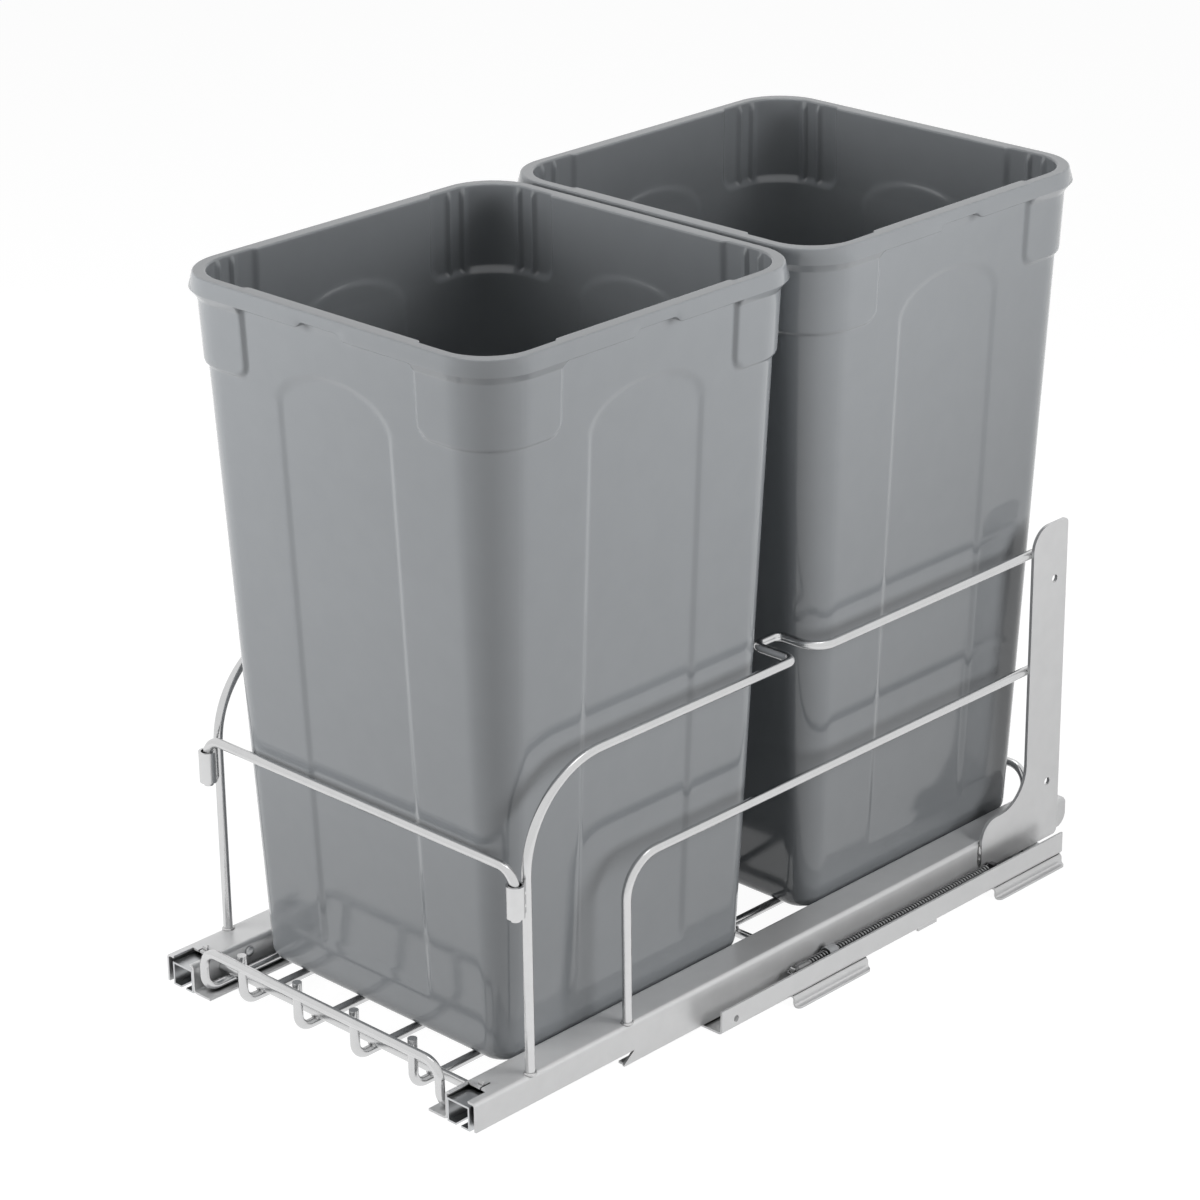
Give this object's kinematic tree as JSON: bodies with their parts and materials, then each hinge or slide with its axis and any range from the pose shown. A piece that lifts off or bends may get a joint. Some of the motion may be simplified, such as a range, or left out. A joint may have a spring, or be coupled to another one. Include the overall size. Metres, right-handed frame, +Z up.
{
  "type": "pull out bin frame",
  "caption": "Pull-out frame for lift-out waste bins: wire tray and side wires on sheet rails, telescopic floor slides, self-closing springs and door fixing plates.",
  "frame": {"origin": "middle of the bounding box on the cabinet floor", "axes": "+Z up, front with the door plates at -Y, rear at +Y, +X across to the right-hand rail"},
  "size_m": [0.311, 0.568, 0.4803],
  "materials": {
    "sheet": "satin silver",
    "track": "zinc plated",
    "wire": "bright plated",
    "spring": "drawn wire",
    "roller": "satin",
    "cage": "matt",
    "guide": "satin",
    "catch": "matt",
    "bin": "semi-gloss"
  },
  "bodies": {
    "cabinet_side": {"mounting_channel_left": "sheet", "mounting_channel_right": "sheet", "cabinet_runner_left": "track", "cabinet_runner_right": "track", "front_foot_left": "sheet", "front_foot_right": "sheet", "rear_foot_left": "sheet", "rear_foot_right": "sheet", "foot_rivets_left": "track", "foot_rivets_right": "track", "closing_spring_left": "spring", "closing_spring_right": "spring", "spring_guide_left": "guide", "spring_guide_right": "guide"},
    "lower_cages": {"lower_cage_left": "cage", "lower_cage_right": "cage", "lower_rollers_left": "roller", "lower_rollers_right": "roller"},
    "middle_runners": {"middle_runner_left": "track", "middle_runner_right": "track"},
    "upper_cages": {"upper_cage_left": "cage", "upper_cage_right": "cage", "upper_rollers_left": "roller", "upper_rollers_right": "roller"},
    "frame": {"side_rail_left": "sheet", "side_rail_right": "sheet", "drawer_runner_left": "track", "drawer_runner_right": "track", "runner_rivets_left": "track", "runner_rivets_right": "track", "door_plate_left": "sheet", "door_plate_right": "sheet", "upper_side_wire_left": "wire", "upper_side_wire_right": "wire", "lower_side_wire_left": "wire", "lower_side_wire_right": "wire", "bar_sleeve_left": "wire", "bar_sleeve_right": "wire", "rear_lip_wire": "wire", "front_lip_wire": "wire", "tray_wire_1": "wire", "tray_wire_2": "wire", "tray_wire_3": "wire", "tray_wire_4": "wire", "cross_wire_rear": "wire", "cross_wire_middle": "wire", "cross_wire_front": "wire"},
    "catch_left": {"closing_catch_left": "catch"},
    "catch_right": {"closing_catch_right": "catch"},
    "rear_bar": {"rear_bar": "wire"},
    "bin_rear": {"bin_rear": "bin"},
    "bin_front": {"bin_front": "bin"}
  },
  "joints": [
    {"name": "pull_out", "type": "slide", "parent": "cabinet_side", "child": "frame", "axis": [0, -1, 0], "range_m": [0, 0.508]},
    {"name": "middle_slide", "type": "slide", "parent": "cabinet_side", "child": "middle_runners", "axis": [0, -1, 0], "range_m": [0, 0.254]},
    {"name": "lower_cage_slide", "type": "slide", "parent": "cabinet_side", "child": "lower_cages", "axis": [0, -1, 0], "range_m": [0, 0.127]},
    {"name": "upper_cage_slide", "type": "slide", "parent": "cabinet_side", "child": "upper_cages", "axis": [0, -1, 0], "range_m": [0, 0.381]},
    {"name": "bin_rear_lift", "type": "slide", "parent": "frame", "child": "bin_rear", "axis": [0, 0, 1], "range_m": [0, 0.26]},
    {"name": "bin_front_lift", "type": "slide", "parent": "frame", "child": "bin_front", "axis": [0, 0, 1], "range_m": [0, 0.26]},
    {"name": "rear_bar_lift", "type": "slide", "parent": "frame", "child": "rear_bar", "axis": [0, 0, 1], "range_m": [0, 0.03]},
    {"name": "catch_left_slide", "type": "slide", "parent": "cabinet_side", "child": "catch_left", "axis": [0, -1, 0], "range_m": [0, 0.04], "stiffness_N_per_m": 200, "springref_m": -0.02, "deforming": ["closing_spring_left"]},
    {"name": "catch_right_slide", "type": "slide", "parent": "cabinet_side", "child": "catch_right", "axis": [0, -1, 0], "range_m": [0, 0.04], "stiffness_N_per_m": 200, "springref_m": -0.02, "deforming": ["closing_spring_right"]}
  ],
  "couplings": [
    {"joint": "middle_slide", "follows": "pull_out", "ratio": 0.5},
    {"joint": "lower_cage_slide", "follows": "pull_out", "ratio": 0.25},
    {"joint": "upper_cage_slide", "follows": "pull_out", "ratio": 0.75}
  ]
}
